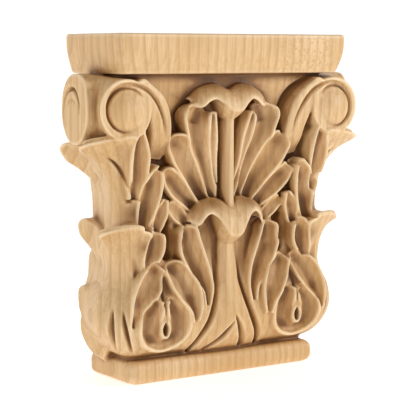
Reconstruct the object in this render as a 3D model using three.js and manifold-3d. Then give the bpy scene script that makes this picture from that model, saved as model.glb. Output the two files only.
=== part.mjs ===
// Carved wooden pilaster capital: plinth, bell with two rows of acanthus leaves, corner scrolls and abacus,
// all cut from one block with a flat back. Millimetres, +Z up, front towards -Y.
import * as THREE from "three";
import { mergeVertices } from "three/addons/utils/BufferGeometryUtils.js";
import Module from "manifold-3d";

const wasm = await Module();
wasm.setup();

// Driving sizes
const CAPITAL_HEIGHT = 252.5;
const PLINTH_WIDTH = 165;
const PLINTH_DEPTH = 59;
const PLINTH_HEIGHT = 17;
const PLINTH_EDGE_RADIUS = 6;
const PLINTH_CORNER_RADIUS = 5;
const ABACUS_WIDTH = 202;
const ABACUS_DEPTH = 75;
const ABACUS_HEIGHT = 28.5;
const ABACUS_CORNER_RADIUS = 6;
const ABACUS_BOWL_HEIGHT = 22;
const ABACUS_BOWL_DEPTH = 5;
const ABACUS_BOWL_CURVE = 1.9;
const ABACUS_EDGE_RADIUS = 1.5;
const BELL_HEIGHT = CAPITAL_HEIGHT - PLINTH_HEIGHT - ABACUS_HEIGHT;

// The carving is drawn in parts of the block: across from the middle, out from the wall, up from the plinth.
// At the real size one part is one millimetre.
const PARTS_WIDE = 202;
const PARTS_DEEP = 75;
const PARTS_HIGH = 207;

const WOOD_COLOUR = 0xd9b282;

function place(x, out, up) {
  return new THREE.Vector3(
    (x * ABACUS_WIDTH) / PARTS_WIDE,
    (-out * ABACUS_DEPTH) / PARTS_DEEP,
    PLINTH_HEIGHT + (up * BELL_HEIGHT) / PARTS_HIGH,
  );
}

// Solids from closed rings

function solidOfGeometry(geometry) {
  const merged = mergeVertices(geometry, 1e-4);
  const mesh = new wasm.Mesh({
    numProp: 3,
    vertProperties: merged.attributes.position.array,
    triVerts: new Uint32Array(merged.index.array),
  });
  return new wasm.Manifold(mesh);
}

// One closed solid through rings of points that all have the same count, capped flat at both ends.
function loft(rings) {
  const count = rings[0].length;
  const points = rings.flat();
  const faces = [];
  for (let r = 0; r + 1 < rings.length; r += 1) {
    for (let k = 0; k < count; k += 1) {
      const a = r * count + k;
      const b = r * count + ((k + 1) % count);
      faces.push(a, b, b + count, a, b + count, a + count);
    }
  }
  const last = (rings.length - 1) * count;
  const foot = points.length;
  points.push(middle(rings[0]));
  points.push(middle(rings[rings.length - 1]));
  for (let k = 0; k < count; k += 1) {
    const next = (k + 1) % count;
    faces.push(foot, next, k);
    faces.push(foot + 1, last + k, last + next);
  }
  if (signedVolume(points, faces) < 0) faces.reverse();
  const geometry = new THREE.BufferGeometry().setFromPoints(points);
  geometry.setIndex(faces);
  return solidOfGeometry(geometry);
}

function middle(ring) {
  const sum = new THREE.Vector3();
  for (const point of ring) sum.add(point);
  return sum.divideScalar(ring.length);
}

function signedVolume(points, faces) {
  let volume = 0;
  for (let i = 0; i < faces.length; i += 3) {
    const [a, b, c] = [points[faces[i]], points[faces[i + 1]], points[faces[i + 2]]];
    volume += a.dot(b.clone().cross(c)) / 6;
  }
  return volume;
}

function join(solids) {
  return solids.reduce((whole, solid) => whole.add(solid));
}

function curveOf(points) {
  const at = points.map((p) => new THREE.Vector3(...p));
  return new THREE.CatmullRomCurve3(at, false, "centripetal");
}

const mix = THREE.MathUtils.lerp;

// The block: plinth, bell and abacus in one run of outlines, each half a rounded rectangle against the wall.
const CORNER_STEPS = 3;

// Everything is drawn this far into the wall and then cut off flat at it.
const WALL_TRIM = 8;

function outline({ wall, half, out, corner, level }) {
  const ring = [new THREE.Vector3(wall, WALL_TRIM, level)];
  for (const side of [1, -1]) {
    for (let k = 0; k <= CORNER_STEPS; k += 1) {
      const turn = ((side > 0 ? k : CORNER_STEPS - k) / CORNER_STEPS) * (Math.PI / 2);
      const x = half - corner * (1 - Math.cos(turn));
      const y = -(out - corner * (1 - Math.sin(turn)));
      ring.push(new THREE.Vector3(side * x, y, level));
    }
  }
  ring.push(new THREE.Vector3(-wall, WALL_TRIM, level));
  return ring;
}

function plinthRings() {
  const rings = [];
  const steps = 3;
  for (const upper of [false, true]) {
    for (let k = 0; k <= steps; k += 1) {
      const turn = ((upper ? k : steps - k) / steps) * (Math.PI / 2);
      const inset = PLINTH_EDGE_RADIUS * (1 - Math.cos(turn));
      const rise = PLINTH_EDGE_RADIUS * (1 - Math.sin(turn));
      const level = upper ? PLINTH_HEIGHT - rise : rise;
      const half = PLINTH_WIDTH / 2 - inset;
      const corner = PLINTH_CORNER_RADIUS;
      rings.push(outline({ wall: half, half, out: PLINTH_DEPTH - inset, corner, level }));
    }
  }
  return rings;
}

// Stations of the bell behind the leaves: level, half width at wall and front, depth and corner radius.
const BELL_STATIONS = [
  { up: 0.5, wall: 77, half: 78, out: 49, corner: 6 },
  { up: 6, wall: 80, half: 87, out: 56, corner: 12 },
  { up: 14, wall: 84, half: 96, out: 63, corner: 18 },
  { up: 28, wall: 87, half: 105, out: 67, corner: 25 },
  { up: 42, wall: 86, half: 103.5, out: 65, corner: 23 },
  { up: 60, wall: 82, half: 94, out: 59, corner: 15 },
  { up: 76, wall: 79, half: 89, out: 56, corner: 12 },
  { up: 110, wall: 79, half: 87, out: 55, corner: 12 },
  { up: 135, wall: 82, half: 88, out: 55, corner: 11 },
  { up: 165, wall: 88, half: 88, out: 56, corner: 8 },
  { up: PARTS_HIGH - 0.5, wall: 90, half: 90, out: 62, corner: 4 },
];

function bellRings() {
  const across = ABACUS_WIDTH / PARTS_WIDE;
  const deep = ABACUS_DEPTH / PARTS_DEEP;
  return BELL_STATIONS.map(({ up, wall, half, out, corner }) =>
    outline({
      wall: wall * across,
      half: half * across,
      out: out * deep,
      corner: corner * Math.min(across, deep),
      level: place(0, 0, up).z,
    }),
  );
}

function abacusRings() {
  const rings = [];
  const underside = PLINTH_HEIGHT + BELL_HEIGHT;
  const corner = ABACUS_CORNER_RADIUS;
  const ringAt = (inset, level) => {
    const half = ABACUS_WIDTH / 2 - inset;
    return outline({ wall: half, half, out: ABACUS_DEPTH - inset, corner, level });
  };
  const steps = 5;
  for (let k = 0; k <= steps; k += 1) {
    const share = k / steps;
    const inset = ABACUS_BOWL_DEPTH * (1 - share) ** ABACUS_BOWL_CURVE;
    rings.push(ringAt(inset, underside + ABACUS_BOWL_HEIGHT * share));
  }
  rings.push(ringAt(0, CAPITAL_HEIGHT - ABACUS_EDGE_RADIUS));
  rings.push(ringAt(ABACUS_EDGE_RADIUS, CAPITAL_HEIGHT));
  return rings;
}

function makeBlock() {
  return loft([...plinthRings(), ...bellRings(), ...abacusRings()]);
}

// Stations along a path of [across, out, up, width] points, ending in a round tip as wide as its last width.
function stroke(path, steps) {
  const curve = curveOf(path.map((p) => p.slice(0, 3)));
  const widths = new THREE.CatmullRomCurve3(path.map((p) => new THREE.Vector3(p[3], 0, 0)));
  const stations = [];
  for (let k = 0; k <= steps; k += 1) {
    const t = k / steps;
    const width = widths.getPoint(t).x;
    stations.push({ at: curve.getPoint(t), along: curve.getTangent(t), width, round: 1 });
  }
  const { at, along, width } = stations[steps];
  const tipTurns = steps > 3 ? [0.65, 1.1, 1.47] : [0.8, 1.42];
  for (const turn of tipTurns) {
    const tip = at.clone().addScaledVector(along, (width / 2) * Math.sin(turn));
    stations.push({ at: tip, along, width, round: Math.cos(turn) });
  }
  return stations;
}

// A solid along stations: section(station) gives [across, outward] points, face is the way it looks.
function sweep(stations, section, face, side) {
  const outward = new THREE.Vector3(...face).normalize();
  const rings = stations.map((station) => {
    const across = new THREE.Vector3().crossVectors(station.along, outward).normalize();
    return section(station).map(([a, b]) => {
      const p = station.at.clone().addScaledVector(across, a).addScaledVector(outward, b);
      return place(side * p.x, p.y, p.z);
    });
  });
  return loft(rings);
}

// Leaf lobe: a raised body with a rim round a hollow; a hollow of 0 leaves it plain.
function makeLobe({ path, hollow = 0, face = [0, 1, 0], steps = 4 }, side) {
  const section = ({ width, round }) => {
    const half = (width / 2) * round;
    const low = hollow * Math.min(1, 0.25 + width / 16) * round;
    const rim = half + RIM_WIDTH;
    const back = -15;
    return [
      [-rim, 0],
      [-0.45 * half, -0.9 * low],
      [0.45 * half, -0.9 * low],
      [rim, 0],
      [rim + 1, back],
      [-rim - 1, back],
    ];
  };
  return sweep(stroke(path, steps), section, face, side);
}

// Knife cut with a sharp bottom, open to the front.
function makeCut({ path, depth, face = [0, 1, 0], steps = 7 }, side) {
  const clear = 10;
  const section = ({ width, round }) => {
    const half = (width / 2) * round;
    return [[half, 0], [0, -depth * round], [-half, 0], [-half - 1, clear], [half + 1, clear]];
  };
  return sweep(stroke(path, steps).slice(0, steps + 2), section, face, side);
}

// Rounded trough, open to the front.
function makeTrough({ path, depth, face = [0, 1, 0], steps = 5 }, side) {
  const clear = 10;
  const section = ({ width, round }) => {
    const half = (width / 2) * round;
    const low = -depth * round;
    return [
      [half, 0],
      [0.5 * half, low],
      [-0.5 * half, low],
      [-half, 0],
      [-half - 1, clear],
      [half + 1, clear],
    ];
  };
  return sweep(stroke(path, steps), section, face, side);
}

function makeEyeLobes(lobes, side) {
  const rings = [];
  const count = 16;
  for (const [drop, scale] of [[16, 1.04], [1, 1], [0, 0.96]]) {
    const ring = [];
    for (let k = 0; k < count; k += 1) {
      const turn = (k / count) * 2 * Math.PI;
      const high = Math.sin(turn) > 0;
      const cleft = Math.abs(turn - Math.PI / 2) < 0.1 ? lobes.cleft : 0;
      const across = (lobes.halfWidth - (high ? 2.5 * Math.sin(turn) : 0)) * Math.cos(turn);
      const rise = ((high ? lobes.above : lobes.below) * Math.sin(turn) - cleft) * scale;
      const lean = lobes.lean * (rise - 10) ** 2 * (rise < 10 ? 1 : 0.15);
      ring.push(place(side * (lobes.x + across * scale), lobes.out - drop - lean, lobes.up + rise));
    }
    rings.push(ring);
  }
  return loft(rings);
}

const bothSides = (make, spec) => [1, -1].map((side) => make(spec, side));

// Front leaves, lobes of one half; the other half mirrors them.
const RIM_WIDTH = 1.3;
const UPPER_LEAF_LOBES = [
  {
    path: [[10, 56, 112, 4], [14, 60, 124, 8], [19.5, 63, 141, 12], [25, 66, 158, 16], [30, 69, 174, 18]],
    hollow: 6,
  },
  {
    path: [[17, 56, 112, 7], [24, 59, 123, 12], [31, 62, 135, 17], [40, 65, 150, 20], [45, 66, 157, 19]],
    hollow: 6,
  },
  {
    path: [[26, 56, 108, 7], [33, 59, 115, 10], [42, 61, 123, 13], [50, 62.7, 132, 13], [54.2, 63.6, 138, 11]],
    hollow: 4.5,
  },
  { path: [[34, 57, 98, 6], [41, 58, 105, 9], [47, 59, 110, 9]], hollow: 2, steps: 2 },
];
const LOWER_LEAF_LOBES = [
  {
    path: [[21, 67, 38, 3], [21, 67, 50, 8], [25, 66, 60, 13], [30, 66, 70, 16], [36, 66, 90, 13]],
    hollow: 6,
  },
  {
    path: [[33, 70, 27, 3], [33.5, 71, 37, 9], [37, 70, 47, 16], [43, 67.5, 58, 18], [47.5, 65.5, 65, 13]],
    hollow: 5.5,
  },
  {
    path: [[85, 66, 27, 3], [83, 69, 36, 8], [78, 69, 46, 15], [70.5, 68, 57, 18], [64.5, 66, 65, 13]],
    hollow: 5.5,
  },
];
const CORNER_FRONT_LOBES = [
  { path: [[71, 64, 68, 6], [69, 65, 74, 11], [66, 66, 82, 14], [65.5, 67, 90, 11]], hollow: 5 },
  { path: [[62, 59, 94, 6], [60, 61, 101, 9], [58, 62, 108, 9], [56.5, 63, 114, 6]], hollow: 3, steps: 3 },
  { path: [[73, 60, 98, 7], [71, 63, 109, 12], [69, 66, 122, 14], [67, 69, 135, 9]], hollow: 5 },
  { path: [[78.6, 60, 120, 5.4], [78.3, 66, 133, 10], [79.5, 70, 148, 13], [81, 71, 160, 11]], hollow: 5 },
];
const SIDE_FINS = [
  { path: [[84, 30, 44, 12], [84, 18, 56, 18], [83.5, 6, 68, 17]], face: [1, 0, 0], steps: 2 },
  { path: [[90, 28, 18, 12], [92, 16.4, 30, 18.6], [92.5, 5, 41.7, 16.6]], face: [1, 0, 0], steps: 2 },
  { path: [[85, 26, 2, 10], [89, 14, 10, 15], [90.5, 5, 20, 14]], face: [1, 0, 0], steps: 2 },
  {
    path: [[84, 26, 122, 10], [88, 18, 135, 16], [96, 10, 145, 17], [104, 4, 150, 13]],
    face: [1, 0, 0],
    steps: 3,
  },
  {
    path: [[84, 30, 66, 10], [86, 22, 79, 16], [88, 12, 88, 17], [91, 5, 93, 13]],
    face: [1, 0, 0],
    steps: 3,
  },
];

// Horseshoe of two round lobes about a small hole low on each side.
const EYE_LOBES = {
  x: 59.5,
  up: 25.2,
  halfWidth: 23.2,
  above: 22.5,
  below: 19,
  cleft: 3.2,
  out: 70.5,
  lean: 0.01,
};
const EYE_HOLLOWS = [
  { path: [[58, 65, 11, 8], [49, 68, 20, 15], [47.5, 70, 31, 16], [51.5, 70, 41, 11]], depth: 5, steps: 5 },
  { path: [[61, 65, 11, 8], [70, 68, 20, 15], [71.5, 70, 31, 16], [66, 70, 41, 10]], depth: 5, steps: 5 },
];

// Grooves beside the stem, the gap over each pair of round lobes, and the groove along a scroll's stalk.
const STEM_GROOVE = {
  path: [
    [17, 66, 102, 13], [12, 65, 86, 9], [11.5, 66, 70, 7.5],
    [14, 68, 56, 6], [28, 67, 22, 5], [36, 61, 6, 5],
  ],
  depth: 9,
};
const LOBE_GAP = {
  path: [[59.3, 70, 22, 3], [59, 70, 40, 3], [58.5, 69, 50, 7], [57, 67, 62, 3]],
  depth: 8,
  steps: 4,
};
const STALK = {
  path: [
    [61, 56, 146, 7], [59.5, 62, 156, 12], [60.5, 66, 170, 14],
    [66.5, 69, 185, 14], [79, 70.3, 197, 11],
  ],
};
const STALK_GROOVE = {
  path: [
    [56.5, 63, 156, 2], [58.5, 67, 168, 3.5], [64, 70, 182, 4],
    [75, 71.8, 196, 4], [91, 71.8, 200.5, 3.5], [104, 71.8, 196, 3],
  ],
  depth: 3.5,
};

// Middle rib of the upper leaf and smooth stem of the lower one.
const RIB = { foot: 106, head: 178, half: 3.4, out: 63.5 };
const STEM_STATIONS = [
  { up: 1, half: 37, out: 50, crown: 3 },
  { up: 18, half: 27, out: 60, crown: 8 },
  { up: 28, half: 20, out: 62, crown: 8 },
  { up: 38, half: 14, out: 62, crown: 7 },
  { up: 66, half: 8, out: 60, crown: 5 },
  { up: 92, half: 6.5, out: 58, crown: 4.5 },
];

function crownedRing(half, out, crown, up) {
  const back = 40;
  const ring = [place(-half, back, up)];
  const steps = 6;
  for (let k = 0; k <= steps; k += 1) {
    const a = -1 + (2 * k) / steps;
    ring.push(place(a * half, out + crown * (1 - a * a), up));
  }
  ring.push(place(half, back, up));
  return ring;
}

function makeRib() {
  const levels = [RIB.foot, mix(RIB.foot, RIB.head, 0.5), RIB.head];
  return loft(levels.map((up) => crownedRing(RIB.half, RIB.out, 2.5, up)));
}

function makeStem() {
  return loft(STEM_STATIONS.map((s) => crownedRing(s.half, s.out, s.crown, s.up)));
}

// Turned-over top of a middle leaf: two humps that roll forward to a lip with two arches.
// out is where the roll starts, reach is how far forward the lip comes,
// nose is how far its underside drops back.
const UPPER_CURL = {
  half: 37,
  crest: 200.5,
  valley: 5,
  fall: 14,
  lip: 185,
  waves: 4,
  out: 58,
  reach: 74,
  hollowFloor: 168,
  nose: 8,
};
const LOWER_CURL = {
  half: 34,
  crest: 116.5,
  valley: 3.5,
  fall: 11,
  lip: 100.5,
  waves: 4,
  out: 57,
  reach: 73,
  hollowFloor: 84,
  nose: 9,
};

function curlRing(curl, a) {
  const arch = 0.5 - 0.5 * Math.cos((a / 0.94) * Math.PI * 2);
  const crest = curl.crest - curl.valley * Math.exp(-((a / 0.2) ** 2)) - curl.fall * Math.abs(a) ** 3.2;
  const lip = Math.min(curl.lip + curl.waves * (2 * arch - 1), crest - 3);
  const taper = Math.sqrt(1 - Math.abs(a) ** 2.5);
  const reach = mix(curl.out + 1, curl.reach, taper) - 2 * arch;
  const backOut = 42;
  const points = [
    [backOut, curl.hollowFloor],
    [backOut, crest - 1.5],
    [curl.out - 5, crest - 0.3],
  ];
  for (const turn of [0.15, 0.55, 0.95, 1.3, Math.PI / 2]) {
    points.push([mix(curl.out, reach, Math.sin(turn)), mix(lip, crest, Math.cos(turn))]);
  }
  points.push([reach - 1.6, lip - 1.9]);
  points.push([mix(curl.out, reach, 0.5), lip + mix(-0.6 * curl.nose, 3.5, arch)]);
  points.push([mix(curl.out, reach, 0.1), lip + mix(-1.1 * curl.nose, 3, arch)]);
  points.push([curl.out - 3, mix(lip, curl.hollowFloor, 0.7)]);
  return points.map(([out, up]) => place(a * curl.half, out, up));
}

function makeCurl(curl) {
  const steps = 15;
  const rings = [];
  for (let k = 0; k <= steps; k += 1) rings.push(curlRing(curl, -1 + (2 * k) / steps));
  return loft(rings);
}

// Corner leaf: a brim that wraps the corner, hollow below, rising from the waist to a drooping tip.
// rim and waist hold [across, out, up] points from the front face round the corner to the side.
const LOWER_CORNER_LEAF = {
  rim: [[66, 67, 88], [78, 71, 98], [93, 68, 99], [107, 56, 94], [98, 45, 88], [92.5, 29, 78]],
  waist: [[68, 61, 50], [78, 62, 50], [86, 58, 50], [90, 50, 50], [91, 41, 50], [88, 30, 50]],
  crest: 2,
};
const UPPER_CORNER_LEAF = {
  rim: [[76, 67, 156], [86, 73, 163], [104, 70, 162], [124, 59, 157], [109, 42, 149], [94, 27, 138]],
  waist: [[72, 60, 106], [78, 61, 106], [86, 57, 106], [89, 49, 106], [89, 40, 106], [87, 28, 106]],
  crest: 4,
};

function makeBrim(leaf, side) {
  const rim = curveOf(leaf.rim);
  const waist = curveOf(leaf.waist);
  const steps = 10;
  const core = [58, 24];
  const rings = [];
  for (let k = 0; k <= steps; k += 1) {
    const edge = rim.getPoint(k / steps);
    const root = waist.getPoint(k / steps);
    const between = (share) => [mix(root.x, edge.x, share), mix(root.y, edge.y, share)];
    const inner = [mix(root.x, core[0], 0.6), mix(root.y, core[1], 0.6)];
    const height = edge.z - root.z;
    const ring = [
      [...inner, root.z],
      [...between(0), root.z],
      [...between(0.04), root.z + height * 0.3],
      [...between(0.2), root.z + height * 0.62],
      [...between(0.55), root.z + height * 0.86],
      [edge.x, edge.y, edge.z],
      [...between(0.92), edge.z + 2.2],
      [...between(0.5), edge.z + 2.2 + (leaf.crest - 2.2) * 0.5],
      [...between(0), edge.z + leaf.crest],
      [...inner, edge.z + leaf.crest],
    ];
    rings.push(ring.map(([x, out, up]) => place(side * x, out, up)));
  }
  return loft(rings);
}

// Corner scroll: a block with a spiral face to the front and one to the side, joined by a hollowed band.
const SCROLL = {
  up: 182,
  radius: 21.5,
  frontX: 92,
  frontOut: 71,
  sideX: 117,
  sideOut: 39,
  sideRadius: 18,
  band: 5,
};
const EYE = { radius: 13, rise: 8, sunk: 3, grooveReach: 15, grooveWidth: 4.5, grooveDepth: 3.5 };

function makeScrollBlock(scroll, side) {
  const steps = 10;
  const rings = [];
  for (let k = 0; k <= steps; k += 1) {
    const turn = mix(-Math.PI / 2, Math.PI / 2, k / steps);
    const sweep = Math.cos(turn) + 0.03;
    const squareSweep = turn > 0 ? Math.sqrt(sweep) : sweep;
    const up = scroll.up + scroll.radius * Math.sin(turn);
    const flankUp = scroll.up + (PARTS_HIGH - scroll.up) * Math.sin(turn);
    const front = [scroll.frontX + scroll.radius * sweep, scroll.frontOut];
    const flank = [scroll.sideX, scroll.sideOut + scroll.sideRadius * squareSweep];
    const halfway = [mix(front[0], flank[0], 0.5), mix(front[1], flank[1], 0.5), mix(up, flankUp, 0.5)];
    const ring = [
      [scroll.frontX - 18, 48, up],
      [scroll.frontX - scroll.radius * sweep * 0.9, scroll.frontOut, up],
      [...front, up],
      [halfway[0] - scroll.band, halfway[1] - scroll.band, halfway[2]],
      [...flank, flankUp],
      [scroll.sideX, scroll.sideOut - scroll.sideRadius * sweep, flankUp],
      [84, scroll.sideOut - scroll.sideRadius, flankUp],
    ];
    rings.push(ring.map(([x, out, level]) => place(side * x, out, level)));
  }
  return loft(rings);
}

// Groove round the eye on the front of a scroll, open below.
function makeEyeGroove(scroll, side) {
  const path = [];
  const steps = 8;
  for (let k = 0; k <= steps; k += 1) {
    const turn = THREE.MathUtils.degToRad(mix(40, 290, k / steps));
    const across = scroll.frontX + EYE.grooveReach * Math.cos(turn);
    const up = scroll.up + EYE.grooveReach * Math.sin(turn);
    path.push([across, scroll.frontOut + 0.5, up, EYE.grooveWidth]);
  }
  return makeCut({ path, depth: EYE.grooveDepth, steps: 9 }, side);
}

function makeEye(scroll, side) {
  const sphere = new THREE.SphereGeometry(1, 10, 6);
  sphere.deleteAttribute("normal");
  sphere.deleteAttribute("uv");
  const merged = mergeVertices(sphere, 1e-4);
  const at = merged.attributes.position;
  for (let i = 0; i < at.count; i += 1) {
    const p = place(
      side * (scroll.frontX + at.getX(i) * EYE.radius),
      scroll.frontOut - EYE.sunk + at.getY(i) * EYE.rise,
      scroll.up + at.getZ(i) * EYE.radius,
    );
    at.setXYZ(i, p.x, p.y, p.z);
  }
  const faces = Array.from(merged.index.array);
  const points = [];
  for (let i = 0; i < at.count; i += 1) points.push(new THREE.Vector3().fromBufferAttribute(at, i));
  if (signedVolume(points, faces) < 0) faces.reverse();
  merged.setIndex(faces);
  return solidOfGeometry(merged);
}

function makeCapital() {
  const leaves = [makeStem(), ...bothSides(makeEyeLobes, EYE_LOBES)];
  for (const lobes of [UPPER_LEAF_LOBES, LOWER_LEAF_LOBES, CORNER_FRONT_LOBES, SIDE_FINS]) {
    for (const lobe of lobes) leaves.push(...bothSides(makeLobe, lobe));
  }
  for (const leaf of [LOWER_CORNER_LEAF, UPPER_CORNER_LEAF]) leaves.push(...bothSides(makeBrim, leaf));
  const leafCuts = [...bothSides(makeCut, STEM_GROOVE), ...bothSides(makeCut, LOBE_GAP)];
  for (const hollow of EYE_HOLLOWS) leafCuts.push(...bothSides(makeTrough, hollow));
  const carved = join([makeBlock(), ...leaves]).subtract(join(leafCuts));
  const scrolls = [...bothSides(makeScrollBlock, SCROLL), ...bothSides(makeLobe, STALK)];
  const scrollCuts = [...bothSides(makeCut, STALK_GROOVE), ...bothSides(makeEyeGroove, SCROLL)];
  const turned = join(scrolls).subtract(join(scrollCuts));
  const curls = [makeCurl(UPPER_CURL), makeCurl(LOWER_CURL)];
  return join([carved, turned, makeRib(), ...curls, ...bothSides(makeEye, SCROLL)]).subtract(makeWall());
}

// A slab that stands for the wall behind the capital.
function makeWall() {
  const half = ABACUS_WIDTH;
  const slab = (level) => [
    new THREE.Vector3(-half, 0, level),
    new THREE.Vector3(half, 0, level),
    new THREE.Vector3(half, 3 * WALL_TRIM, level),
    new THREE.Vector3(-half, 3 * WALL_TRIM, level),
  ];
  return loft([slab(-PLINTH_HEIGHT), slab(CAPITAL_HEIGHT + PLINTH_HEIGHT)]);
}

function meshOf(solid, name, colour) {
  const made = solid.getMesh();
  const geometry = new THREE.BufferGeometry();
  geometry.setAttribute("position", new THREE.BufferAttribute(new Float32Array(made.vertProperties), 3));
  geometry.setIndex(new THREE.BufferAttribute(new Uint32Array(made.triVerts), 1));
  geometry.computeVertexNormals();
  const material = new THREE.MeshStandardMaterial({ color: colour, roughness: 0.55, metalness: 0 });
  const mesh = new THREE.Mesh(geometry, material);
  mesh.name = name;
  return mesh;
}

const capital = meshOf(makeCapital(), "capital", WOOD_COLOUR);
capital.geometry.computeBoundingBox();
const reach = capital.geometry.boundingBox;

// The origin is under the middle of the block's whole depth.
capital.position.y = -(reach.min.y + reach.max.y) / 2;

const part = new THREE.Group();
part.add(capital);
export default part;
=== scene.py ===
import math

import bpy
import numpy as np
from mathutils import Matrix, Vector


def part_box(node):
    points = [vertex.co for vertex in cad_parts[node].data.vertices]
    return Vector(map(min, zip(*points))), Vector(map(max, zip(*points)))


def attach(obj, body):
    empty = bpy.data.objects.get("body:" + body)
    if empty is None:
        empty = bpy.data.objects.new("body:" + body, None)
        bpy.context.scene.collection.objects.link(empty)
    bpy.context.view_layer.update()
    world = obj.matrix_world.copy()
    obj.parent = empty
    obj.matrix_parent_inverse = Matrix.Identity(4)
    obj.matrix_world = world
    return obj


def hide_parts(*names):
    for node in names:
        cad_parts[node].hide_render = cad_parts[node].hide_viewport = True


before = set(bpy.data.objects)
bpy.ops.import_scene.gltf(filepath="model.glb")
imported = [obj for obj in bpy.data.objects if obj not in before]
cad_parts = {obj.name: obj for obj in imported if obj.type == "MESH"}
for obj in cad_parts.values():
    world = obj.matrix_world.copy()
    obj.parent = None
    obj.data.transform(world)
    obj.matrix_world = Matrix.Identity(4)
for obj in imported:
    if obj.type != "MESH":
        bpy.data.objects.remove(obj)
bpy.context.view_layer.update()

import openvdb as vdb
from mathutils import Vector

bl_info = {
    "name": "Acanthus capital",
    "version": (1, 0, 0),
    "blender": (4, 5, 0),
    "location": "3D View > Sidebar > Capital",
    "description": "Carves a maple pilaster capital and sets it on a pale studio floor",
    "category": "Mesh",
}

MM = 0.001
BACK_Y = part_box("capital")[1][1]

# Sizes of the block in millimetres, as in the solid model
PLINTH_WIDTH = 165.0
PLINTH_DEPTH = 59.0
PLINTH_HEIGHT = 17.0
PLINTH_EDGE_RADIUS = 6.0
PLINTH_CORNER_RADIUS = 5.0
BELL_HEIGHT = 207.0
ABACUS_WIDTH = 202.0
ABACUS_DEPTH = 75.0
ABACUS_HEIGHT = 28.5
ABACUS_CORNER_RADIUS = 6.0
ABACUS_BOWL_HEIGHT = 22.0
ABACUS_BOWL_DEPTH = 5.0
ABACUS_BOWL_CURVE = 1.9
ABACUS_EDGE_RADIUS = 1.5

# Camera of the photograph, fitted to the corners of the abacus and the plinth
PHOTO_SIZE = 416
PHOTO_FOCAL = 1490.0
SENSOR_MM = 36.0
VIEW_AZIMUTH = -34.36
VIEW_ELEVATION = 5.89
VIEW_DISTANCE = 1164.4
VIEW_TARGET = (23.8, 0.0, 118.2)


# Curves and rings. Points are (across, out from the wall, up from the plinth), in millimetres.

def spline(points, ts):
    """Points and unit tangents on a centripetal Catmull-Rom curve, at shares ts of its run."""
    pts = np.asarray(points, float)
    first = 2 * pts[0] - pts[1]
    last = 2 * pts[-1] - pts[-2]
    pts = np.vstack([first, pts, last])
    spans = len(pts) - 3

    def at(t):
        place = min(max(t, 0.0), 1.0) * spans
        i = min(int(place), spans - 1)
        w = place - i
        p0, p1, p2, p3 = pts[i : i + 4]
        d1 = max(np.dot(p2 - p1, p2 - p1) ** 0.25, 1e-4)
        d0 = max(np.dot(p1 - p0, p1 - p0) ** 0.25, 1e-4)
        d2 = max(np.dot(p3 - p2, p3 - p2) ** 0.25, 1e-4)
        t1 = ((p1 - p0) / d0 - (p2 - p0) / (d0 + d1) + (p2 - p1) / d1) * d1
        t2 = ((p2 - p1) / d1 - (p3 - p1) / (d1 + d2) + (p3 - p2) / d2) * d1
        return (
            p1
            + w * t1
            + w * w * (-3 * p1 + 3 * p2 - 2 * t1 - t2)
            + w**3 * (2 * p1 - 2 * p2 + t1 + t2)
        )

    places = np.array([at(t) for t in ts])
    step = 1e-3
    ahead = np.array([at(min(1.0, t + step)) for t in ts])
    behind = np.array([at(max(0.0, t - step)) for t in ts])
    tangents = ahead - behind
    tangents /= np.linalg.norm(tangents, axis=1, keepdims=True)
    return places, tangents


def rounded(points, steps):
    """A section of few points drawn as one smooth curve."""
    return spline(points, np.linspace(0, 1, steps))[0]


def mirrored(rings, side):
    """The same rings on the right for a side of 1, on the left for -1."""
    out = np.array(rings, float)
    out[..., 0] *= side
    return out


def mix(a, b, share):
    return a + (b - a) * share


# Carving

# Corners of the space that is carved, in millimetres, and how many steps of the grid a distance reaches
BLOCK_LOW = (-128, -9, -18.5)
BLOCK_HIGH = (128, 82, 237)
BAND = 4


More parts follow.
